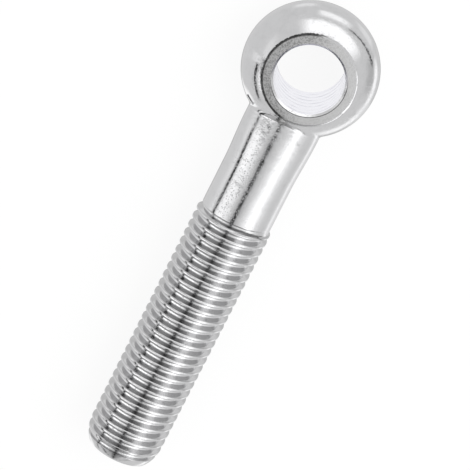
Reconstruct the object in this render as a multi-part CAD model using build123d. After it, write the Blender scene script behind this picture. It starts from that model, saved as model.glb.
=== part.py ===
"""Swing eye bolt with a bored, flat-sided eye, a plain shank and a rolled metric thread, in millimetres.

The origin is the centre of the bore. The bore runs along Z, and the stem runs along +X to its threaded end.
Each turn of the thread is a V groove that closes on itself, at the true pitch and crest diameter.
"""
from build123d import *
import math
import os

# Eye: a forged round head with a rounded rim, two flats ground parallel and a hole drilled through them
eye_diameter = 27.5
eye_thickness = 16.0
eye_flat_diameter = 18.4
eye_rim_radius = 6.8
bore_diameter = 14.0
bore_chamfer = 0.4

# Neck: flared sideways by the forging where it leaves the eye, then tapered to the round of the shank
flare_width = 16.9
neck_width = 15.4
neck_start = 14.0
neck_end = 23.5
neck_blend_radius = 1.4

# Shank: plain and round from the neck to the thread
shank_diameter = 14.7

# Thread: rolled, so that its crests stand prouder than the shank it was rolled from
thread_diameter = 15.8
thread_pitch = 2.0
thread_depth = 1.0
thread_flank_angle = 30.0
thread_length = 56.2
thread_shoulder_length = 0.5

# Threaded end: tapered in two steps over its last turns to a small flat face
bolt_length = 90.0
end_taper_length = 4.4
end_shoulder_diameter = 14.8
end_shoulder_length = 1.7
end_face_diameter = 13.0

# How far the groove cutters reach past the crests, so that they pass clear of the metal
cutting_clearance = 0.2

eye_radius = eye_diameter / 2
eye_half_thickness = eye_thickness / 2
eye_flat_radius = eye_flat_diameter / 2
bore_radius = bore_diameter / 2
shank_radius = shank_diameter / 2
flare_start = eye_radius / 2
crest_radius = thread_diameter / 2
root_radius = crest_radius - thread_depth


def make_eye():
    """Round head about Z, whose sides lean in from a rounded rim to the edges of the flats."""
    rim_centre = eye_radius - eye_rim_radius
    flat_edge = Vector(eye_flat_radius - rim_centre, eye_half_thickness)
    lean_in = math.degrees(math.atan2(flat_edge.Y, flat_edge.X) - math.acos(eye_rim_radius / flat_edge.length))
    away_from_neck = Plane(origin=(0, 0, 0), x_dir=(-1, 0, 0), z_dir=(0, 1, 0))
    with BuildPart() as eye:
        with BuildSketch(away_from_neck):
            with BuildLine():
                rim = CenterArc((rim_centre, 0), eye_rim_radius, -lean_in, 2 * lean_in)
                Polyline(
                    rim @ 1,
                    (eye_flat_radius, eye_half_thickness),
                    (0, eye_half_thickness),
                    (0, -eye_half_thickness),
                    (eye_flat_radius, -eye_half_thickness),
                    rim @ 0,
                )
            make_face()
        revolve(axis=Axis.Z)
    return eye.part


def make_neck():
    """Flared neck, from an oval inside the eye through a narrower one to the round of the shank."""
    with BuildPart() as neck:
        with BuildSketch(Plane.YZ.offset(flare_start)):
            Ellipse(flare_width / 2, shank_radius)
        with BuildSketch(Plane.YZ.offset(neck_start)):
            Ellipse(neck_width / 2, shank_radius)
        with BuildSketch(Plane.YZ.offset(neck_end)):
            Circle(shank_radius)
        loft(ruled=True)
    return neck.part


def make_head():
    """Eye and neck, blended where they meet, with the bore drilled through and its rims eased."""
    with BuildPart() as head:
        add(make_eye())
        add(make_neck())
        fillet(head.edges(Select.NEW), neck_blend_radius)
        Cylinder(bore_radius, eye_thickness, mode=Mode.SUBTRACT)
        wall = head.faces().filter_by(GeomType.CYLINDER).sort_by_distance((0, 0, 0))[0]
        chamfer(wall.edges().filter_by(GeomType.CIRCLE), bore_chamfer)
    return head.part


def make_stem():
    """Shank and thread about X: the turned outline, then one V groove to each pitch up to the blunt end."""
    thread_start = bolt_length - thread_length
    end_shoulder = bolt_length - end_shoulder_length
    first_groove = thread_start + thread_pitch
    groove_count = math.ceil((end_shoulder - first_groove) / thread_pitch)
    groove_reach = thread_depth + cutting_clearance
    half_mouth = groove_reach * math.tan(math.radians(thread_flank_angle))
    with BuildPart() as stem:
        with BuildSketch(Plane.XY):
            with BuildLine():
                Polyline(
                    (neck_end, 0),
                    (neck_end, shank_radius),
                    (thread_start, shank_radius),
                    (thread_start + thread_shoulder_length, crest_radius),
                    (bolt_length - end_taper_length, crest_radius),
                    (end_shoulder, end_shoulder_diameter / 2),
                    (bolt_length, end_face_diameter / 2),
                    (bolt_length, 0),
                    close=True,
                )
            make_face()
        revolve(axis=Axis.X)
        with BuildSketch(Plane.XY):
            with Locations(*[(first_groove + turn * thread_pitch, root_radius) for turn in range(groove_count)]):
                Polygon((0, 0), (half_mouth, groove_reach), (-half_mouth, groove_reach), align=None)
        revolve(axis=Axis.X, mode=Mode.SUBTRACT)
    return stem.part


os.makedirs("parts", exist_ok=True)
eye_bolt = make_head().fuse(make_stem())
export_step(eye_bolt, "parts/eye_bolt.step")
print(f"eye_bolt: {len(eye_bolt.solids())} solid, {eye_bolt.volume:.0f} mm3, {len(eye_bolt.faces())} faces")
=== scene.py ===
"""Swing eye bolt: forged head, rolled thread and bright plating, with a pale floor and a light tent.

Every length is in metres. The origin is the centre of the bore, the bore runs along Z and the thread ends
on +X.
"""
from __future__ import annotations

import logging
import math
from dataclasses import dataclass, field
from enum import IntEnum
from typing import Any, Callable, Union

import bmesh
import bpy
from mathutils import Matrix, Vector

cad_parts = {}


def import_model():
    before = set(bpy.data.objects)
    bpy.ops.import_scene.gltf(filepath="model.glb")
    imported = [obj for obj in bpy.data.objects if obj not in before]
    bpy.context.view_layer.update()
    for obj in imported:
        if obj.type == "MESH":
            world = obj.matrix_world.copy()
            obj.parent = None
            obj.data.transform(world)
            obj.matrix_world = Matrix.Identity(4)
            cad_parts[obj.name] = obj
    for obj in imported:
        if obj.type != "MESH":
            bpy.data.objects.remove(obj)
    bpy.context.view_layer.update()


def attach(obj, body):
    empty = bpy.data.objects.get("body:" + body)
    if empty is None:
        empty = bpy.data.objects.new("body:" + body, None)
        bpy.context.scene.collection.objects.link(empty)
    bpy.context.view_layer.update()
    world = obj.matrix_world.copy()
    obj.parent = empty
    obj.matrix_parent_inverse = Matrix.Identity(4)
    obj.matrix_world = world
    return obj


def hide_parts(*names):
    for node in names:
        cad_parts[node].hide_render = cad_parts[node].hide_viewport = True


LOG = logging.getLogger("eye_bolt")
MM = 0.001
PIECE_NAME = "swing_eye_bolt"
CAD_NODE = "eye_bolt"
# Vertex layer that carries painted shade: on the thread's flanks, darker where the groove runs out and on a
# flash mark's sides; it also sets the flanks' roughness and hatching
FLANK_SHADE_LAYER = "flank"
FULL_TURN = 2 * math.pi
MERGE_DISTANCE = 0.001 * MM
CUT_TOLERANCE = 0.002 * MM
Shade = tuple[float, float, float, float]
Span = tuple[float, float]
Band = tuple[float, float, float]
Place = tuple[float, float, float]


class Face(IntEnum):
    """Which finish a face of the bolt has, in the order of the piece's material slots."""

    PLATED = 0
    GROUND = 1
    BORED = 2


# Shader sockets


class Sock:
    """A value or colour in a node tree that can be used in plain arithmetic."""

    def __init__(self, tree: bpy.types.NodeTree, socket: bpy.types.NodeSocket) -> None:
        """Wrap one output socket.

        Args:
            tree: The node tree that the socket belongs to.
            socket: The output socket.
        """
        self.tree = tree
        self.socket = socket

    def _math(self, operation: str, first: Value, second: Value | None = None) -> Sock:
        """Add one Math node.

        Args:
            operation: The node's operation.
            first: Its first value.
            second: Its second value, where it has one.

        Returns:
            The node's result.
        """
        inputs = {0: first} if second is None else {0: first, 1: second}
        return Nodes(self.tree).add("ShaderNodeMath", {"operation": operation}, inputs)

    def __add__(self, other: Value) -> Sock:
        """Return self + other."""
        return self._math("ADD", self, other)

    def __radd__(self, other: Value) -> Sock:
        """Return other + self."""
        return self._math("ADD", other, self)

    def __sub__(self, other: Value) -> Sock:
        """Return self - other."""
        return self._math("SUBTRACT", self, other)

    def __rsub__(self, other: Value) -> Sock:
        """Return other - self."""
        return self._math("SUBTRACT", other, self)

    def __mul__(self, other: Value) -> Sock:
        """Return self * other."""
        return self._math("MULTIPLY", self, other)

    def __truediv__(self, other: Value) -> Sock:
        """Return self / other."""
        return self._math("DIVIDE", self, other)

    def __abs__(self) -> Sock:
        """Return the value without its sign."""
        return self._math("ABSOLUTE", self)

    def at_least(self, other: Value) -> Sock:
        """Return the larger of the two values."""
        return self._math("MAXIMUM", self, other)

    def sine(self) -> Sock:
        """Return the sine of the value in radians."""
        return self._math("SINE", self)

    def ramp(self, low: float, high: float) -> Sock:
        """Rise smoothly from 0 at one value to 1 at another.

        Args:
            low: The value at which the result leaves 0.
            high: The value at which the result reaches 1.

        Returns:
            The smooth step.
        """
        ends = {"Value": self, "From Min": low, "From Max": high}
        return Nodes(self.tree).add("ShaderNodeMapRange", {"interpolation_type": "SMOOTHSTEP"}, ends)

    def band(self, centre: float, half_width: float, softness: float) -> Sock:
        """Mark a band of values.

        Args:
            centre: The middle of the band.
            half_width: Half its width, to the middle of its soft edge.
            softness: The width of that edge.

        Returns:
            1 inside the band and 0 outside it.
        """
        distance = abs(self - centre)
        return 1.0 - distance.ramp(half_width - softness / 2, half_width + softness / 2)


Value = Union[Sock, float]


class Nodes:
    """Adds nodes to one tree."""

    def __init__(self, tree: bpy.types.NodeTree) -> None:
        """Keep the tree that the nodes are added to."""
        self.tree = tree

    def add(self, kind: str, settings: dict[str, Any], inputs: dict[Any, Any], output: Any = 0) -> Sock:
        """Add a node of any type.

        Args:
            kind: The node's type.
            settings: Its own settings, which are set before its sockets.
            inputs: Values or links of its sockets, by name or number.
            output: The name or number of the output that is wanted.

        Returns:
            That output.
        """
        node = self.tree.nodes.new(kind)
        for name, value in settings.items():
            if name == "stops":
                self._set_stops(node, value)
            else:
                setattr(node, name, value)
        for name, value in inputs.items():
            if isinstance(value, Sock):
                self.tree.links.new(value.socket, node.inputs[name])
            else:
                node.inputs[name].default_value = value
        return Sock(self.tree, node.outputs[output])

    @staticmethod
    def _set_stops(node: bpy.types.Node, stops: list[tuple[float, float]]) -> None:
        """Give a colour ramp its grey stops.

        Args:
            node: The colour ramp.
            stops: Place and brightness of each stop, in order.
        """
        elements = node.color_ramp.elements
        for place, _ in stops[2:]:
            elements.new(place)
        for element, (place, brightness) in zip(elements, stops):
            element.position = place
            element.color = (brightness, brightness, brightness, 1.0)

    def angle(self, rise: Sock, run: Sock) -> Sock:
        """Give the angle of a direction in degrees.

        Args:
            rise: Its share away from the zero line.
            run: Its share along the zero line.

        Returns:
            The angle, from -180 to 180.
        """
        return self.add("ShaderNodeMath", {"operation": "ARCTAN2"}, {0: rise, 1: run}) * math.degrees(1.0)

    def noise(self, place: Sock, grain: float, detail: float, roughness: float = 0.5) -> Sock:
        """Add noise whose lumps have a real size.

        Args:
            place: The place on the object.
            grain: The size of a lump.
            detail: How many finer layers it has.
            roughness: How strong those layers are.

        Returns:
            The noise, from 0 to 1.
        """
        values = {"Vector": place, "Scale": 1.0 / grain, "Detail": detail, "Roughness": roughness}
        return self.add("ShaderNodeTexNoise", {}, values, "Fac")

    def part(self, vector: Sock, axis: str) -> Sock:
        """Take one part of a vector.

        Args:
            vector: The vector.
            axis: The letter of the part that is wanted.

        Returns:
            That part.
        """
        return self.add("ShaderNodeSeparateXYZ", {}, {"Vector": vector}, axis)

    def bump(self, height: Sock) -> Sock:
        """Turn a height in metres into a bumped normal.

        Args:
            height: The height over the surface.

        Returns:
            The normal.
        """
        return self.add("ShaderNodeBump", {}, {"Strength": 1.0, "Distance": 1.0, "Height": height})

    def mix(self, factor: Value, first: Any, second: Any) -> Sock:
        """Mix two colours.

        Args:
            factor: How much of the second colour is taken.
            first: The first colour.
            second: The second colour.

        Returns:
            The mixed colour.
        """
        values = {"Factor": factor, 6: first, 7: second}
        return self.add("ShaderNodeMix", {"data_type": "RGBA"}, values, 2)


# Finishes, some with painted light and shade


@dataclass(frozen=True)
class Steel:
    """What all finishes of the steel share."""

    name: str
    colour: Shade
    roughness: float

    def start(self) -> tuple[bpy.types.Material, Nodes, Sock]:
        """Start the material.

        Returns:
            The material, its nodes and the place on the object.
        """
        material = bpy.data.materials.new(self.name)
        material.use_nodes = True
        nodes = Nodes(material.node_tree)
        place = nodes.add("ShaderNodeTexCoord", {}, {}, "Object")
        return material, nodes, place

    def finish(self, material: bpy.types.Material, colour: Sock, roughness: Sock, normal: Sock) -> None:
        """Join the varying values to the material's shader.

        Args:
            material: The material.
            colour: Its colour.
            roughness: Its roughness.
            normal: Its bumped normal.
        """
        tree = material.node_tree
        shader = tree.nodes["Principled BSDF"]
        shader.inputs["Metallic"].default_value = 1.0
        for name, value in (("Base Color", colour), ("Roughness", roughness), ("Normal", normal)):
            tree.links.new(value.socket, shader.inputs[name])


@dataclass(frozen=True)
class Plating(Steel):
    """Bright plating over steel that was forged or rolled, with the pits and tumbling marks under it, and
    painted shade on the thread's flanks, in the groove's run-out and on a flash mark's sides.
    """

    name: str = "bright_plating"
    colour: Shade = (0.80, 0.80, 0.81, 1.0)
    roughness: float = 0.06
    dull_colour: Shade = (0.66, 0.66, 0.67, 1.0)
    dull_span: Span = (0.42, 0.80)
    dull_share: float = 0.4
    rough_span: Span = (0.35, 0.75)
    rough_gain: float = 0.05
    pit_grain: float = 0.37 * MM
    pit_span: Span = (0.10, 0.40)
    pit_depth: float = 0.0125 * MM
    patch_grain: float = 3.2 * MM
    patch_span: Span = (0.40, 0.62)
    patch_gain: float = 0.58
    patch_least: float = 0.42
    ripple_grain: float = 0.55 * MM
    ripple_depth: float = 0.004 * MM
    wave_grain: float = 1.9 * MM
    wave_depth: float = 0.012 * MM
    cloud_grain: float = 2.6 * MM
    cloud_detail: float = 4.0
    cloud_strength: float = 0.62
    # Painted shade: the thread's flanks are darker, broken by hatching, and darker still where the groove
    # runs out and on a flash mark's sides
    flank_shade_colour: Shade = (0.60, 0.60, 0.605, 1.0)
    flank_roughness: float = 0.10
    hatch_count: int = 120
    hatch_gain: float = 0.30
    hatch_mean: float = 0.85
    dark_shade_colour: Shade = (0.16, 0.16, 0.16, 1.0)
    dark_shade_span: Span = (1.0, 1.7)
    dark_shade_share: float = 0.65

    def make(self) -> bpy.types.Material:
        """Build the material.

        Returns:
            The material.
        """
        material, nodes, place = self.start()
        cells = {"Vector": place, "Scale": 1.0 / self.pit_grain}
        pits = nodes.add("ShaderNodeTexVoronoi", {}, cells, "Distance").ramp(*self.pit_span)
        patches = nodes.noise(place, self.patch_grain, detail=2.0).ramp(*self.patch_span)
        patches = patches * self.patch_gain + self.patch_least
        ripples = nodes.noise(place, self.ripple_grain, detail=1.0)
        waves = nodes.noise(place, self.wave_grain, detail=1.0)
        clouds = nodes.noise(place, self.cloud_grain, self.cloud_detail, self.cloud_strength)
        flank = nodes.add("ShaderNodeAttribute", {"attribute_name": FLANK_SHADE_LAYER}, {}, "Fac")
        y, z = (nodes.part(place, axis) for axis in "YZ")
        hatch = (nodes.angle(z, y) * math.radians(self.hatch_count)).sine()
        colour = nodes.mix(clouds.ramp(*self.dull_span) * self.dull_share, self.colour, self.dull_colour)
        # Painted shade on the thread's flanks, broken by hatching
        colour = nodes.mix(flank * (hatch * self.hatch_gain + self.hatch_mean), colour, self.flank_shade_colour)
        # Darker painted shade where the groove runs out and on a flash mark's sides
        colour = nodes.mix(flank.ramp(*self.dark_shade_span) * self.dark_shade_share, colour, self.dark_shade_colour)
        roughness = self.roughness + clouds.ramp(*self.rough_span) * self.rough_gain
        roughness = roughness + flank * (self.flank_roughness - roughness)
        height = pits * patches * self.pit_depth + ripples * self.ripple_depth + waves * self.wave_depth
        self.finish(material, colour, roughness, nodes.bump(height))
        return material


@dataclass(frozen=True)
class GroundFlat(Steel):
    """Plated steel that was ground flat: matt and grainy, lighter towards +Y by painted light, with painted
    shade as dark lines at its rims.
    """

    name: str = "ground_flat"
    colour: Shade = (0.68, 0.68, 0.68, 1.0)
    roughness: float = 0.36
    rough_gain: float = 0.1
    # Painted light: the flat is lighter towards +Y, where its specks and the outer shade line fade
    lit_side_colour: Shade = (0.84, 0.84, 0.84, 1.0)
    speck_colour: Shade = (0.26, 0.26, 0.26, 1.0)
    speck_span: Span = (0.47, 0.60)
    speck_share: float = 0.66
    lit_side_speck_loss: float = 0.50
    grain: float = 0.27 * MM
    grain_strength: float = 0.6
    grain_depth: float = 0.014 * MM
    cloud_grain: float = 3.5 * MM
    lit_side_span: Span = (-4.5 * MM, 2.5 * MM)
    lit_side_wander: float = 4.0 * MM
    # Painted shade: a dark line round the inner rim on the +X side, and one at the outer edge that fades
    # towards +Y
    line_width: float = 0.10 * MM
    rim_radius: float = 7.50 * MM
    rim_span: Span = (-1.0 * MM, 3.0 * MM)
    rim_lean: float = 0.5
    shade_line_radius: float = 8.92 * MM
    shade_line_fade_span: Span = (0.1, 0.5)
    shade_line_colour: Shade = (0.07, 0.07, 0.07, 1.0)
    shade_line_grain_gain: float = 0.8
    shade_line_least: float = 0.5

    def make(self) -> bpy.types.Material:
        """Build the material.

        Returns:
            The material.
        """
        material, nodes, place = self.start()
        specks = nodes.noise(place, self.grain, detail=2.0, roughness=self.grain_strength)
        clouds = nodes.noise(place, self.cloud_grain, detail=2.0)
        x, y = (nodes.part(place, axis) for axis in "XY")
        # Painted light: lighter towards +Y, with fewer specks there
        lit_side = (y + (clouds - 0.5) * self.lit_side_wander).ramp(*self.lit_side_span)
        colour = nodes.mix(lit_side, self.colour, self.lit_side_colour)
        speckled = specks.ramp(*self.speck_span) * (self.speck_share - lit_side * self.lit_side_speck_loss)
        colour = nodes.mix(speckled, colour, self.speck_colour)
        radius = nodes.add("ShaderNodeMath", {"operation": "SQRT"}, {0: x * x + y * y})
        # Painted shade: dark lines at the inner rim on the +X side and at the outer edge, fading on the lit
        # side
        rim = 1.0 - radius.ramp(self.rim_radius, self.rim_radius + self.line_width)
        rim = rim * (x + y * self.rim_lean).ramp(*self.rim_span)
        outer_shade_line = radius.ramp(self.shade_line_radius, self.shade_line_radius + self.line_width)
        outer_shade_line = outer_shade_line * (1.0 - lit_side.ramp(*self.shade_line_fade_span))
        line = rim.at_least(outer_shade_line) * (specks * self.shade_line_grain_gain + self.shade_line_least)
        colour = nodes.mix(line, colour, self.shade_line_colour)
        roughness = self.roughness + clouds * self.rough_gain
        self.finish(material, colour, roughness, nodes.bump(specks * self.grain_depth))
        return material


@dataclass(frozen=True)
class BoredWall(Steel):
    """Plated wall of the hole, with the fine rings that boring left on it."""

    name: str = "bored_wall"
    colour: Shade = (0.91, 0.91, 0.935, 1.0)
    roughness: float = 0.2
    rough_gain: float = 0.05
    ring_pitch: float = 2.1 * MM
    ring_depth: float = 0.01 * MM
    ring_span: Span = (0.55, 0.98)
    ring_wander: float = 0.7 * MM
    wander_grain: float = 5.0 * MM
    faint_grain: float = 2.5 * MM
    faint_span: Span = (0.35, 0.65)
    ring_colour: Shade = (0.70, 0.70, 0.75, 1.0)

    def make(self) -> bpy.types.Material:
        """Build the material.

        Returns:
            The material.
        """
        material, nodes, place = self.start()
        wander = nodes.noise(place, self.wander_grain, detail=1.0) * self.ring_wander
        rings = ((nodes.part(place, "Z") + wander) * (FULL_TURN / self.ring_pitch)).sine()
        faint = nodes.noise(place, self.faint_grain, detail=2.0).ramp(*self.faint_span)
        colour = nodes.mix(rings.ramp(*self.ring_span) * faint, self.colour, self.ring_colour)
        roughness = self.roughness + rings.ramp(0.0, 1.0) * self.rough_gain
        self.finish(material, colour, roughness, nodes.bump(rings * self.ring_depth))
        return material


# Shapes


def smooth_step(value: float, low: float, high: float) -> float:
    """Rise smoothly from 0 to 1.

    Args:
        value: The value.
        low: Where the result leaves 0.
        high: Where it reaches 1.

    Returns:
        The smooth step.
    """
    share = min(max((value - low) / (high - low), 0.0), 1.0)
    return share * share * (3.0 - 2.0 * share)


def smooth_least(first: float, second: float, reach: float) -> float:
    """Take the smaller of two values, with a rounded change from one to the other.

    Args:
        first: The first value.
        second: The second value.
        reach: How far apart the two are where the rounding starts.

    Returns:
        The smaller value, or a little less than both where they are close.
    """
    share = max(reach - abs(first - second), 0.0) / reach
    return min(first, second) - share * share * reach / 4.0


def root_between(inside: float, outside: float, height: Callable[[float], float], steps: int = 22) -> float:
    """Find where a height above a surface changes sign.

    Args:
        inside: A distance that is inside the metal.
        outside: A distance that is outside it.
        height: The height above the surface at a distance.
        steps: How often the interval is halved.

    Returns:
        The distance of the surface.
    """
    for _ in range(steps):
        middle = (inside + outside) / 2
        if height(middle) < 0.0:
            inside = middle
        else:
            outside = middle
    return (inside + outside) / 2


@dataclass(frozen=True)
class FlashMark:
    """A small raised mark that the forging's flash left where the neck meets the eye."""

    centre: Place
    along: Place
    out: Place
    length: float
    width: float
    thickness: float
    edge_round: float = 0.06 * MM
    edge_steps: int = 2
    # Whether the mark's top is ground and its sides get painted shade
    ground_top_shaded_sides: bool = False
    side_shade: float = 2.0
    side_reach: float = 0.25
    top_reach: float = 0.6
    top_lean: float = 0.9

    def top_has(self, place: Vector, normal: Vector) -> bool:
        """Tell whether a face is the ground top of the mark.

        Args:
            place: The middle of the face.
            normal: Its normal.

        Returns:
            Whether it is.
        """
        near = (place - Vector(self.centre)).length < self.top_reach * self.length
        return self.ground_top_shaded_sides and near and normal.dot(Vector(self.out).normalized()) > self.top_lean

    def make(self) -> bmesh.types.BMesh:
        """Make the mark as a small block, half sunk into the metal, with painted shade on its sides where
        its top is ground.

        Returns:
            The closed block.
        """
        out = Vector(self.out).normalized()
        across = out.cross(Vector(self.along)).normalized()
        along = across.cross(out)
        turned = Matrix((along, across, out)).transposed().to_4x4()
        sizes = Matrix.Diagonal((self.length, self.width, self.thickness, 1.0))
        mesh = bmesh.new()
        bmesh.ops.create_cube(mesh, size=1.0, matrix=Matrix.Translation(self.centre) @ turned @ sizes)
        bmesh.ops.bevel(
            mesh,
            geom=mesh.edges[:],
            offset=self.edge_round,
            affect="EDGES",
            segments=self.edge_steps,
            profile=0.5,
        )
        bmesh.ops.recalc_face_normals(mesh, faces=mesh.faces)
        # Painted shade: the sides of a mark with a ground top, all but the one farthest across, get a shade
        # value that the plating darkens
        if self.ground_top_shaded_sides:
            flank = mesh.verts.layers.float.new(FLANK_SHADE_LAYER)
            for vertex in mesh.verts:
                if (vertex.co - Vector(self.centre)).dot(across) < self.side_reach * self.width:
                    vertex[flank] = self.side_shade
        return mesh


FLASH_MARKS = [
    FlashMark(
        centre=(9.57 * MM, -1.25 * MM, 7.55 * MM),
        along=(-0.20, 0.97, 0.12),
        out=(0.30, 0.16, 0.94),
        length=1.9 * MM,
        width=0.85 * MM,
        thickness=0.5 * MM,
        edge_round=0.15 * MM,
        ground_top_shaded_sides=True,
    ),
    FlashMark(
        centre=(9.75 * MM, -8.15 * MM, 3.6 * MM),
        along=(0.42, 0.83, 0.37),
        out=(0.66, -0.60, 0.45),
        length=2.3 * MM,
        width=0.45 * MM,
        thickness=0.5 * MM,
    ),
]


@dataclass
class Forging:
    """The forged head: a round eye with two ground flats, its neck and the plain shank."""

    equator_radius: float = 13.70 * MM
    side_fall: float = 4.42 * MM
    half_thickness: float = 8.0 * MM
    shank_radius: float = 7.35 * MM
    neck_flare: float = 0.36 * MM
    flare_start: float = 14.0 * MM
    flare_end: float = 24.0 * MM
    neck_root: float = 6.0 * MM
    blend: float = 0.5 * MM
    flat_edge_round: float = 0.28 * MM
    flat_edge_steps: int = 4
    flat_rim_merge: float = 0.06 * MM
    flat_tolerance: float = 0.01 * MM
    # Beyond this radius and on this side of Y, the flats' rounded edge takes the ground finish for its
    # painted shade line
    shade_line_side: float = -1.5 * MM
    shade_line_radius: float = 8.5 * MM
    bore_radius: float = 7.0 * MM
    bore_chamfer: float = 0.4 * MM
    shank_end: float = 27.0 * MM
    spare_length: float = 1.0 * MM
    turn_start: float = 45.0
    neck_start: float = 14.0 * MM
    eye_rows: int = 90
    turn_rows: int = 34
    neck_rows: int = 24
    columns: int = 144
    bore_columns: int = 160
    least_reach: float = 1.0 * MM
    most_reach: float = 25.0 * MM

    def height(self, point: Vector) -> float:
        """Work out how far a point is outside the forging.

        Args:
            point: The point.

        Returns:
            Its rough distance from the surface, below 0 inside the metal.
        """
        side = point.z / self.half_thickness
        profile = self.equator_radius - self.side_fall * side * side
        slope = 2 * self.side_fall * side / self.half_thickness
        eye = (math.hypot(point.x, point.y) - profile) / math.hypot(1.0, slope)
        flare = self.neck_flare * (1.0 - smooth_step(point.x, self.flare_start, self.flare_end))
        oval = math.hypot(point.y * self.shank_radius / (self.shank_radius + flare), point.z)
        neck = max(oval - self.shank_radius, self.neck_root - point.x)
        return smooth_least(eye, neck, self.blend)

    def rows(self) -> list[tuple[float, float]]:
        """List the rays that the rows of the forging lie on, from the far side of the eye to the shank.

        Returns:
            For each row, where its ray leaves the axis and its angle from the axis.
        """
        turn_start = math.radians(self.turn_start)
        neck_length = self.shank_end + self.spare_length - self.neck_start
        rows = []
        for row in range(self.eye_rows):
            rows.append((0.0, math.pi + (turn_start - math.pi) * row / self.eye_rows))
        for row in range(self.turn_rows):
            share = row / self.turn_rows
            rows.append((self.neck_start * share, turn_start + (math.pi / 2 - turn_start) * share))
        for row in range(self.neck_rows + 1):
            rows.append((self.neck_start + neck_length * row / self.neck_rows, math.pi / 2))
        return rows

    def skin(self) -> bmesh.types.BMesh:
        """Make the forging's skin, open at the shank.

        Returns:
            The mesh.
        """
        mesh = bmesh.new()
        start = mesh.verts.layers.float.new("ray_start")
        angle = mesh.verts.layers.float.new("ray_angle")
        previous = None
        for place, turn in self.rows():
            along, across = math.cos(turn) * self.bore_radius, math.sin(turn) * self.bore_radius
            vertex = mesh.verts.new((place + along, across, 0))
            vertex[start] = place
            vertex[angle] = turn
            if previous:
                mesh.edges.new((previous, vertex))
            previous = vertex
        bmesh.ops.spin(
            mesh,
            geom=mesh.verts[:] + mesh.edges[:],
            cent=(0, 0, 0),
            axis=(1, 0, 0),
            angle=FULL_TURN,
            steps=self.columns,
            use_merge=True,
        )
        for vertex in mesh.verts:
            around = math.atan2(vertex.co.z, vertex.co.y)
            across = math.sin(vertex[angle])
            ray = Vector((math.cos(vertex[angle]), across * math.cos(around), across * math.sin(around)))
            origin = Vector((vertex[start], 0, 0))
            reach = root_between(self.least_reach, self.most_reach, lambda t: self.height(origin + ray * t))
            vertex.co = origin + ray * reach
        bmesh.ops.remove_doubles(mesh, verts=mesh.verts, dist=MERGE_DISTANCE)
        return mesh

    def grind_flats(self, mesh: bmesh.types.BMesh) -> None:
        """Cut the skin off flat on both sides, fill the cuts and round their edges.

        Args:
            mesh: The skin.
        """
        rims = []
        for side in (1, -1):
            cut = bmesh.ops.bisect_plane(
                mesh,
                geom=mesh.verts[:] + mesh.edges[:] + mesh.faces[:],
                dist=CUT_TOLERANCE,
                plane_co=(0, 0, side * self.half_thickness),
                plane_no=(0, 0, side),
                clear_outer=True,
            )
            edges = [item for item in cut["geom_cut"] if isinstance(item, bmesh.types.BMEdge)]
            corners = {vertex for edge in edges for vertex in edge.verts}
            bmesh.ops.remove_doubles(mesh, verts=list(corners), dist=self.flat_rim_merge)
            rims.append([edge for edge in mesh.edges if edge.is_boundary and self.on_flat(edge, side)])
            bmesh.ops.edgeloop_fill(mesh, edges=rims[-1])
        edges = [edge for rim in rims for edge in rim if edge.is_valid]
        bmesh.ops.bevel(
            mesh,
            geom=edges,
            offset=self.flat_edge_round,
            affect="EDGES",
            segments=self.flat_edge_steps,
            profile=0.5,
            material=-1,
        )

    def on_flat(self, edge: bmesh.types.BMEdge, side: int) -> bool:
        """Tell whether an edge lies in one of the flats' planes.

        Args:
            edge: The edge.
            side: 1 for the upper flat, -1 for the lower one.

        Returns:
            Whether it does.
        """
        plane = side * self.half_thickness
        return all(abs(vertex.co.z - plane) < self.flat_tolerance for vertex in edge.verts)

    def drill(self) -> bmesh.types.BMesh:
        """Make the body that the bore and its chamfers are cut with.

        Returns:
            The closed body.
        """
        end = self.half_thickness + self.spare_length
        mouth = self.bore_radius + self.bore_chamfer + self.spare_length
        wall_end = self.half_thickness - self.bore_chamfer
        outline = [(0, -end), (mouth, -end), (self.bore_radius, -wall_end), (self.bore_radius, wall_end)]
        outline += [(mouth, end), (0, end)]
        mesh = bmesh.new()
        corners = [mesh.verts.new((radius, 0, height)) for radius, height in outline]
        for first, second in zip(corners, corners[1:]):
            mesh.edges.new((first, second))
        bmesh.ops.spin(
            mesh,
            geom=mesh.verts[:] + mesh.edges[:],
            cent=(0, 0, 0),
            axis=(0, 0, 1),
            angle=FULL_TURN,
            steps=self.bore_columns,
            use_merge=True,
        )
        bmesh.ops.remove_doubles(mesh, verts=mesh.verts, dist=MERGE_DISTANCE)
        bmesh.ops.recalc_face_normals(mesh, faces=mesh.faces)
        return mesh

    def make(self) -> bmesh.types.BMesh:
        """Make the drilled forging, open at the shank's end.

        Returns:
            The mesh.
        """
        mesh = self.skin()
        self.grind_flats(mesh)
        end = [edge for edge in mesh.edges if edge.is_boundary]
        bmesh.ops.edgeloop_fill(mesh, edges=end)
        bmesh.ops.recalc_face_normals(mesh, faces=mesh.faces)
        drilled = cut_away(mesh, self.drill())
        bmesh.ops.bisect_plane(
            drilled,
            geom=drilled.verts[:] + drilled.edges[:] + drilled.faces[:],
            dist=MERGE_DISTANCE,
            plane_co=(self.shank_end, 0, 0),
            plane_no=(1, 0, 0),
            clear_outer=True,
        )
        return drilled


def to_object(mesh: bmesh.types.BMesh, name: str) -> bpy.types.Object:
    """Put a mesh into a new object of the scene.

    Args:
        mesh: The mesh, which is freed.
        name: The object's name.

    Returns:
        The object.
    """
    data = bpy.data.meshes.new(name)
    mesh.to_mesh(data)
    mesh.free()
    made = bpy.data.objects.new(name, data)
    bpy.context.scene.collection.objects.link(made)
    return made


def add_to(mesh: bmesh.types.BMesh, other: bmesh.types.BMesh) -> None:
    """Add a mesh to another as it is.

    Args:
        mesh: The mesh that grows.
        other: The mesh that is added, which is freed.
    """
    data = bpy.data.meshes.new("added")
    other.to_mesh(data)
    other.free()
    mesh.from_mesh(data)
    bpy.data.meshes.remove(data)


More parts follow.
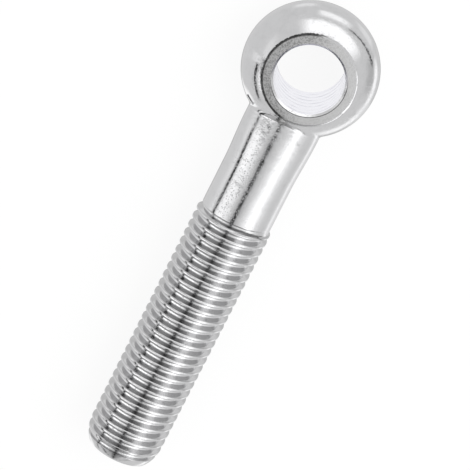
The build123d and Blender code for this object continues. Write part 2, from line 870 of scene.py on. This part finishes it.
def cut_away(body: bmesh.types.BMesh, tool: bmesh.types.BMesh) -> bmesh.types.BMesh:
    """Cut one closed body out of another.

    Args:
        body: The body that is kept.
        tool: The body that is cut out of it.

    Returns:
        What is left.
    """
    kept = to_object(body, "uncut_body")
    cutter = to_object(tool, "cutting_body")
    modifier = kept.modifiers.new("cut", "BOOLEAN")
    modifier.operation = "DIFFERENCE"
    modifier.solver = "EXACT"
    modifier.object = cutter
    shown = kept.evaluated_get(bpy.context.evaluated_depsgraph_get())
    result = bmesh.new()
    result.from_mesh(shown.to_mesh())
    shown.to_mesh_clear()
    for used in (kept, cutter):
        data = used.data
        bpy.data.objects.remove(used)
        bpy.data.meshes.remove(data)
    return result


@dataclass
class RolledThread:
    """The right-hand rolled thread, from the end of the plain shank to the rounded tip."""

    crest_radius: float = 7.9 * MM
    shank_radius: float = 7.35 * MM
    pitch: float = 2.0 * MM
    depth: float = 1.08 * MM
    root_width: float = 0.34 * MM
    flank_angle: float = 30.0
    corner_round: float = 0.12 * MM
    groove_phase: float = 1.35 * MM
    groove_start: float = 33.52 * MM
    run_out: float = 0.26 * MM
    run_out_rise: float = 0.55 * MM
    shoulder_start: float = 33.95 * MM
    shoulder_end: float = 34.75 * MM
    tip_start: float = 85.6 * MM
    tip_round: float = 7.6 * MM
    mesh_start: float = 27.6 * MM
    length_end: float = 90.0 * MM
    columns: int = 96
    rows_per_pitch: int = 24
    spare_turns: float = 1.5
    merge_share: float = 0.05
    slope_step: float = 0.02 * MM
    steep_span: Span = (0.5, 1.4)
    sunk_span: Span = (0.03 * MM, 0.12 * MM)
    sunk_shade: float = 0.6
    first_span: Span = (0.4, 1.5)

    def outline(self, along: float) -> float:
        """Give the radius over the crests.

        Args:
            along: The place on the axis.

        Returns:
            The radius.
        """
        shoulder = smooth_step(along, self.shoulder_start, self.shoulder_end)
        radius = self.shank_radius + (self.crest_radius - self.shank_radius) * shoulder
        past = min(max(along - self.tip_start, 0.0), self.tip_round)
        return radius - self.tip_round + math.sqrt(self.tip_round ** 2 - past ** 2)

    def groove_offset(self, along: float, around: float) -> float:
        """Tell how far along a place is from the middle of the nearest groove.

        Args:
            along: The place on the axis.
            around: The angle round the axis.

        Returns:
            The distance, above 0 on the tip's side of the groove.
        """
        groove = self.groove_phase + self.pitch * around / FULL_TURN
        return (along - groove + self.pitch / 2) % self.pitch - self.pitch / 2

    def radius(self, along: float, around: float) -> float:
        """Give the radius of the thread's surface.

        Args:
            along: The place on the axis.
            around: The angle round the axis, from +Y towards +Z.

        Returns:
            The radius.
        """
        offset = self.groove_offset(along, around)
        left = self.groove_start + self.run_out - (along - offset)
        lift = self.run_out_rise * min(max(left / self.run_out, 0.0), 1.0)
        slope = math.tan(math.radians(self.flank_angle))
        flank = max(abs(offset) - self.root_width / 2 - lift * slope, 0.0) / slope
        root = self.crest_radius - self.depth + lift + max(self.groove_start - along + offset, 0.0)
        bottom = -smooth_least(0.0, -flank, self.corner_round)
        return smooth_least(self.outline(along), root + bottom, self.corner_round)

    def flank_shade(self, along: float, around: float) -> float:
        """Tell how much painted shade a place on the thread gets, from how far it is on a steep flank.

        Args:
            along: The place on the axis.
            around: The angle round the axis.

        Returns:
            From 0 on crests, roots and the shank to 1 on the flanks, and up to 2 where the groove runs out.
        """
        rise = self.radius(along + self.slope_step, around) - self.radius(along - self.slope_step, around)
        steep = smooth_step(abs(rise / (2 * self.slope_step)), *self.steep_span)
        sunk = smooth_step(self.outline(along) - self.radius(along, around), *self.sunk_span)
        centre = along - self.groove_offset(along, around)
        # Painted shade is deeper in the first turn, where the groove runs out
        fade_start, fade_end = (self.groove_start + share * self.run_out for share in self.first_span)
        first = 1.0 - smooth_step(centre, fade_start, fade_end)
        return max(steep, first * sunk * self.sunk_shade) + first * steep

    def make(self) -> bmesh.types.BMesh:
        """Make the thread's surface with its end face, open at the shank.

        Returns:
            The mesh.
        """
        mesh = bmesh.new()
        step = self.pitch / self.rows_per_pitch
        spare = self.spare_turns * self.pitch
        first = self.mesh_start - spare
        count = math.ceil((self.length_end + spare - first) / step)
        row = [mesh.verts.new((first + step * number, self.crest_radius, 0)) for number in range(count + 1)]
        for near, far in zip(row, row[1:]):
            mesh.edges.new((near, far))
        bmesh.ops.spin(
            mesh,
            geom=mesh.verts[:] + mesh.edges[:],
            cent=(0, 0, 0),
            axis=(1, 0, 0),
            dvec=(self.pitch / self.columns, 0, 0),
            angle=FULL_TURN,
            steps=self.columns,
            use_merge=False,
        )
        bmesh.ops.remove_doubles(mesh, verts=mesh.verts, dist=step * self.merge_share)
        for vertex in mesh.verts:
            around = math.atan2(vertex.co.z, vertex.co.y)
            radius = self.radius(vertex.co.x, around)
            vertex.co.y = radius * math.cos(around)
            vertex.co.z = radius * math.sin(around)
        for place, side in ((self.mesh_start, -1), (self.length_end, 1)):
            cut = bmesh.ops.bisect_plane(
                mesh,
                geom=mesh.verts[:] + mesh.edges[:] + mesh.faces[:],
                dist=CUT_TOLERANCE,
                plane_co=(place, 0, 0),
                plane_no=(side, 0, 0),
                clear_outer=True,
            )
        end = [item for item in cut["geom_cut"] if isinstance(item, bmesh.types.BMEdge)]
        bmesh.ops.edgeloop_fill(mesh, edges=end)
        return mesh


@dataclass
class EyeBolt:
    """The whole bolt as one closed piece."""

    forging: Forging = field(default_factory=Forging)
    thread: RolledThread = field(default_factory=RolledThread)
    sharp_angle: float = 28.0
    level: float = 0.999
    steep: float = 0.5

    def join(self) -> bmesh.types.BMesh:
        """Join the forging and the thread along the shank.

        Returns:
            The closed mesh.
        """
        mesh = self.forging.make()
        mesh.verts.layers.float.new(FLANK_SHADE_LAYER)
        add_to(mesh, self.thread.make())
        seam = [edge for edge in mesh.edges if edge.is_boundary]
        bmesh.ops.bridge_loops(mesh, edges=seam)
        for mark in FLASH_MARKS:
            add_to(mesh, mark.make())
        bmesh.ops.recalc_face_normals(mesh, faces=mesh.faces)
        return mesh

    def face_finish(self, face: bmesh.types.BMFace) -> Face:
        """Tell which finish a face has.

        Args:
            face: The face.

        Returns:
            The finish.
        """
        forging = self.forging
        centre = face.calc_center_median()
        radius = math.hypot(centre.x, centre.y)
        below_flat = forging.half_thickness - abs(centre.z)
        if abs(face.normal.z) > self.level and abs(below_flat) < forging.flat_tolerance:
            return Face.GROUND
        if any(mark.top_has(centre, face.normal) for mark in FLASH_MARKS):
            return Face.GROUND
        # The -Y part of the flats' rounded edge takes the ground finish, which paints a dark shade line on
        # it
        on_shade_line = centre.y < forging.shade_line_side and radius > forging.shade_line_radius
        if on_shade_line and below_flat < forging.flat_edge_round / 2:
            return Face.GROUND
        if radius < forging.bore_radius + forging.bore_chamfer and abs(face.normal.z) < self.steep:
            return Face.BORED
        return Face.PLATED

    def make(self) -> bpy.types.Object:
        """Build and dress the bolt.

        Returns:
            The piece.
        """
        mesh = self.join()
        for face in mesh.faces:
            face.smooth = True
            face.material_index = self.face_finish(face)
        for edge in mesh.edges:
            edge.smooth = edge.calc_face_angle(0.0) < math.radians(self.sharp_angle)
        flank = mesh.verts.layers.float[FLANK_SHADE_LAYER]
        thread = self.thread
        # Painted shade on the thread's flanks and in the groove's run-out, stored in the flank shade layer
        for vertex in mesh.verts:
            if thread.groove_start - thread.pitch / 2 < vertex.co.x < thread.length_end:
                vertex[flank] = thread.flank_shade(vertex.co.x, math.atan2(vertex.co.z, vertex.co.y))
        LOG.info("open edges left: %d", sum(edge.is_boundary for edge in mesh.edges))
        piece = to_object(mesh, PIECE_NAME)
        for finish in (Plating(), GroundFlat(), BoredWall()):
            piece.data.materials.append(finish.make())
        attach(piece, "root")
        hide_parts(CAD_NODE)
        return piece


# Studio

# Brightness of the tent round the stem, by the angle from +Y towards +Z, as the plain shank reflects it
STEM_STOPS = [
    (-180.0, 0.90), (-172.0, 0.86), (-160.0, 0.74), (-90.0, 0.68), (-70.0, 0.92), (-58.0, 0.80),
    (-47.0, 0.83), (-34.0, 1.10), (-22.0, 0.74), (-10.0, 0.68), (6.0, 0.74), (20.0, 0.94), (34.0, 1.30),
    (46.0, 1.50), (58.0, 1.18), (66.0, 0.95), (76.0, 0.74), (88.0, 0.54), (92.5, 0.30), (95.0, 0.03),
    (101.5, 0.03), (105.0, 0.44), (112.0, 0.64), (122.0, 0.95), (142.0, 1.20), (158.0, 1.08), (163.0, 0.74),
    (165.5, 0.03), (171.0, 0.03), (174.0, 0.60), (178.0, 0.84),
]
STEM_MOST = 2.0


@dataclass(frozen=True)
class Cloth:
    """A bright cloth, or with a gain below 0 a dark gap, by its direction from the bolt in degrees."""

    azimuth: float
    half_width: float
    side_softness: float
    elevation: float
    half_height: float
    edge_softness: float
    gain: float
    tilt: float = 0.0

    def light(self, azimuth: Sock, elevation: Sock, centre: float) -> Sock:
        """Give what the cloth adds to the tent's brightness.

        Args:
            azimuth: The direction's azimuth.
            elevation: Its elevation.
            centre: The azimuth of the cloth's middle, counted as azimuth is.

        Returns:
            The added brightness.
        """
        across = azimuth.band(centre, self.half_width, self.side_softness)
        level = elevation - (azimuth - centre) * self.tilt if self.tilt else elevation
        return across * level.band(self.elevation, self.half_height, self.edge_softness) * self.gain


# Azimuth, half width, side softness, elevation, half height, edge softness, gain and tilt of each cloth
TENT_CLOTHS = [
    Cloth(173.0, 40.0, 26.0, 10.0, 10.0, 8.0, 0.65),
    Cloth(178.0, 18.0, 14.0, -18.0, 7.0, 9.0, 0.46),
    Cloth(68.0, 40.0, 18.0, -35.0, 7.0, 9.0, 0.45),
    Cloth(-82.0, 22.0, 22.0, 9.0, 5.0, 6.0, 0.16),
    Cloth(-47.0, 12.0, 10.0, 1.0, 3.0, 2.5, 0.40, -0.31),
    Cloth(-58.5, 9.0, 5.0, 11.0, 5.5, 3.0, -0.60),
    Cloth(-22.0, 8.0, 8.0, -45.0, 14.0, 10.0, 0.40),
    Cloth(-46.0, 20.0, 8.0, -7.2, 1.7, 1.6, -0.74, -0.31),
    Cloth(134.0, 24.0, 10.0, -15.5, 2.0, 2.0, -0.56, 0.23),
    Cloth(119.0, 8.0, 6.0, -19.0, 2.2, 2.2, -0.40, 0.23),
    Cloth(-125.0, 70.0, 14.0, 44.0, 15.0, 10.0, -0.62),
    Cloth(50.0, 15.0, 14.0, 34.0, 11.0, 12.0, 0.80),
    Cloth(85.0, 18.0, 12.0, 42.0, 12.0, 8.0, 0.60),
    Cloth(100.0, 16.0, 18.0, -18.0, 9.0, 12.0, -0.18),
    Cloth(-146.0, 12.0, 12.0, -48.0, 8.0, 10.0, 0.22),
    Cloth(135.0, 14.0, 10.0, -42.0, 10.0, 8.0, 0.16),
]


@dataclass
class Studio:
    """A pale floor, soft lamps and a light tent with dark gaps that the metal reflects."""

    floor_height: float = -8.0 * MM
    floor_size: float = 3.0
    floor_colour: Shade = (0.86, 0.86, 0.86, 1.0)
    floor_roughness: float = 0.9
    floor_glow: float = 0.9
    card_radius: float = 6.9 * MM
    card_gap: float = 0.02 * MM
    card_colour: Shade = (0.92, 0.92, 0.94, 1.0)
    room_level: float = 0.9
    base_level: float = 0.70
    least_level: float = 0.02
    stem_band: Band = (0.35, 0.07, 0.04)
    thread_band: Band = (0.365, 0.025, 0.02)
    thread_sector: Band = (100.0, 68.0, 8.0)
    thread_gain: float = 0.35
    deep_span: Span = (0.40, 0.46)
    deep_sector: Band = (96.0, 77.0, 10.0)
    deep_gain: float = 0.44
    limb_direction: Place = (0.319, 0.093, -0.943)
    limb_span: Span = (0.90, 0.95)
    limb_gain: float = 0.16
    lamp_place: Place = (-0.3, 0.5, 0.8)
    lamp_aim: Place = (0.04, 0.0, 0.0)
    lamp_size: float = 0.8
    lamp_power: float = 6.0

    def make_floor(self) -> bpy.types.Object:
        """Make the floor.

        Returns:
            The floor.
        """
        mesh = bmesh.new()
        bmesh.ops.create_grid(mesh, x_segments=1, y_segments=1, size=self.floor_size)
        bmesh.ops.translate(mesh, verts=mesh.verts, vec=(0, 0, self.floor_height))
        floor = to_object(mesh, "floor")
        material = bpy.data.materials.new("pale_floor")
        material.use_nodes = True
        shader = material.node_tree.nodes["Principled BSDF"]
        shader.inputs["Base Color"].default_value = self.floor_colour
        shader.inputs["Roughness"].default_value = self.floor_roughness
        nodes = Nodes(material.node_tree)
        glow = nodes.add("ShaderNodeEmission", {}, {"Color": (1.0, 1.0, 1.0, 1.0), "Strength": 1.0})
        seen = nodes.add("ShaderNodeLightPath", {}, {}, "Is Camera Ray")
        diffuse = Sock(material.node_tree, shader.outputs["BSDF"])
        mixed = nodes.add("ShaderNodeMixShader", {}, {0: seen * self.floor_glow, 1: diffuse, 2: glow})
        output = material.node_tree.nodes["Material Output"]
        material.node_tree.links.new(mixed.socket, output.inputs["Surface"])
        floor.data.materials.append(material)
        return floor

    def make_world(self) -> None:
        """Make the light tent round the object, white where the camera sees it."""
        world = bpy.data.worlds.new("light_tent")
        bpy.context.scene.world = world
        world.use_nodes = True
        nodes = Nodes(world.node_tree)
        direction = nodes.add("ShaderNodeTexCoord", {}, {}, "Generated")
        tent = self.tent(nodes, *(nodes.part(direction, axis) for axis in "XYZ"))
        rays = ("Camera", "Glossy", "Transmission")
        seen, glossy, through = (nodes.add("ShaderNodeLightPath", {}, {}, f"Is {ray} Ray") for ray in rays)
        level = self.room_level + glossy * (tent - self.room_level)
        level = level + seen.at_least(through) * (1.0 - level)
        background = world.node_tree.nodes["Background"]
        background.inputs["Color"].default_value = (1.0, 1.0, 1.0, 1.0)
        world.node_tree.links.new(level.socket, background.inputs["Strength"])

    def tent(self, nodes: Nodes, x: Sock, y: Sock, z: Sock) -> Sock:
        """Give the tent's brightness, with its bright cloths and dark gaps.

        Args:
            nodes: The world's nodes.
            x: The direction's share along the stem.
            y: Its share across the stem.
            z: Its share upwards.

        Returns:
            The brightness that glossy rays see.
        """
        around = nodes.angle(z, y)
        places = [((angle + 180.0) / 360.0, brightness / STEM_MOST) for angle, brightness in STEM_STOPS]
        ramp = nodes.add("ShaderNodeValToRGB", {"stops": places}, {"Fac": (around + 180.0) / 360.0})
        stem_light = nodes.add("ShaderNodeRGBToBW", {}, {"Color": ramp}) * STEM_MOST
        thread = x.band(*self.thread_band) * around.band(*self.thread_sector)
        stem_light = stem_light * (thread * self.thread_gain + 1.0)
        stem = x.band(*self.stem_band)
        deep = x.ramp(*self.deep_span) * around.band(*self.deep_sector)
        light = stem * (stem_light - self.base_level)
        light = light + deep * (stem_light * self.deep_gain - self.base_level)
        front, back = nodes.angle(y, x), nodes.angle(y * -1.0, x * -1.0)
        height = nodes.add("ShaderNodeMath", {"operation": "ARCSINE"}, {0: z}) * math.degrees(1.0)
        cloths = 0.0
        for cloth in TENT_CLOTHS:
            if abs(cloth.azimuth) > 90.0:
                turned = cloth.azimuth - math.copysign(180.0, cloth.azimuth)
                cloths = cloths + cloth.light(back, height, turned)
            else:
                cloths = cloths + cloth.light(front, height, cloth.azimuth)
        limb_x, limb_y, limb_z = self.limb_direction
        behind = (x * limb_x + y * limb_y + z * limb_z).ramp(*self.limb_span)
        light = self.base_level + light + cloths * (1.0 - stem)
        return (light - behind * self.limb_gain).at_least(self.least_level)

    def make_lamp(self) -> bpy.types.Object:
        """Hang a square lamp that points at the middle of the bolt and that reflections don't show.

        Returns:
            The lamp.
        """
        data = bpy.data.lights.new("key_lamp", "AREA")
        data.size = self.lamp_size
        data.energy = self.lamp_power
        lamp = bpy.data.objects.new("key_lamp", data)
        lamp.location = self.lamp_place
        aim = Vector(self.lamp_aim) - Vector(self.lamp_place)
        lamp.rotation_euler = aim.to_track_quat("-Z", "Y").to_euler()
        lamp.visible_glossy = False
        bpy.context.scene.collection.objects.link(lamp)
        return lamp

    def make_bore_card(self) -> bpy.types.Object:
        """Lay a bright card under the bore, which only reflections show.

        Returns:
            The card.
        """
        mesh = bmesh.new()
        bmesh.ops.create_circle(mesh, cap_ends=True, segments=64, radius=self.card_radius)
        bmesh.ops.translate(mesh, verts=mesh.verts, vec=(0, 0, self.floor_height + self.card_gap))
        card = to_object(mesh, "bore_card")
        material = bpy.data.materials.new("bright_card")
        material.use_nodes = True
        shader = material.node_tree.nodes["Principled BSDF"]
        shader.inputs["Base Color"].default_value = (0.0, 0.0, 0.0, 1.0)
        shader.inputs["Emission Color"].default_value = self.card_colour
        shader.inputs["Emission Strength"].default_value = 1.0
        card.data.materials.append(material)
        card.visible_camera = False
        card.visible_diffuse = False
        card.visible_shadow = False
        return card

    def make(self) -> None:
        """Build the card, the floor, the tent and the lamp, and set the view transform."""
        self.make_bore_card()
        floor = self.make_floor()
        floor.visible_glossy = False
        self.make_world()
        self.make_lamp()
        bpy.context.scene.view_settings.view_transform = "Standard"


@dataclass
class ViewPoint:
    """The camera, at the photograph's angle."""

    aim: Place = (37.62 * MM, 1.54 * MM, 0.0)
    distance: float = 623.97 * MM
    azimuth: float = -163.685
    elevation: float = 70.613
    roll: float = -170.284
    lens: float = 239.78
    film_width: float = 36.0
    near_clip: float = 10.0 * MM

    def make(self) -> bpy.types.Object:
        """Place the camera.

        Returns:
            The camera.
        """
        turn = Matrix.Rotation(math.radians(self.azimuth + 90), 4, "Z")
        tilt = Matrix.Rotation(math.radians(90 - self.elevation), 4, "X")
        roll = Matrix.Rotation(math.radians(self.roll), 4, "Z")
        back = Matrix.Translation((0, 0, self.distance))
        data = bpy.data.cameras.new("camera")
        data.lens = self.lens
        data.sensor_width = self.film_width
        data.clip_start = self.near_clip
        camera = bpy.data.objects.new("camera", data)
        camera.matrix_world = Matrix.Translation(self.aim) @ turn @ tilt @ roll @ back
        bpy.context.scene.collection.objects.link(camera)
        bpy.context.scene.camera = camera
        return camera


def main() -> None:
    """Build the bolt, the studio and the camera in order."""
    logging.basicConfig(level=logging.INFO, format="%(message)s")
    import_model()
    bolt = EyeBolt().make()
    LOG.info("%s: %d faces", bolt.name, len(bolt.data.polygons))
    Studio().make()
    LOG.info("studio built")
    ViewPoint().make()
    LOG.info("camera placed")


if __name__ == "__main__":
    main()
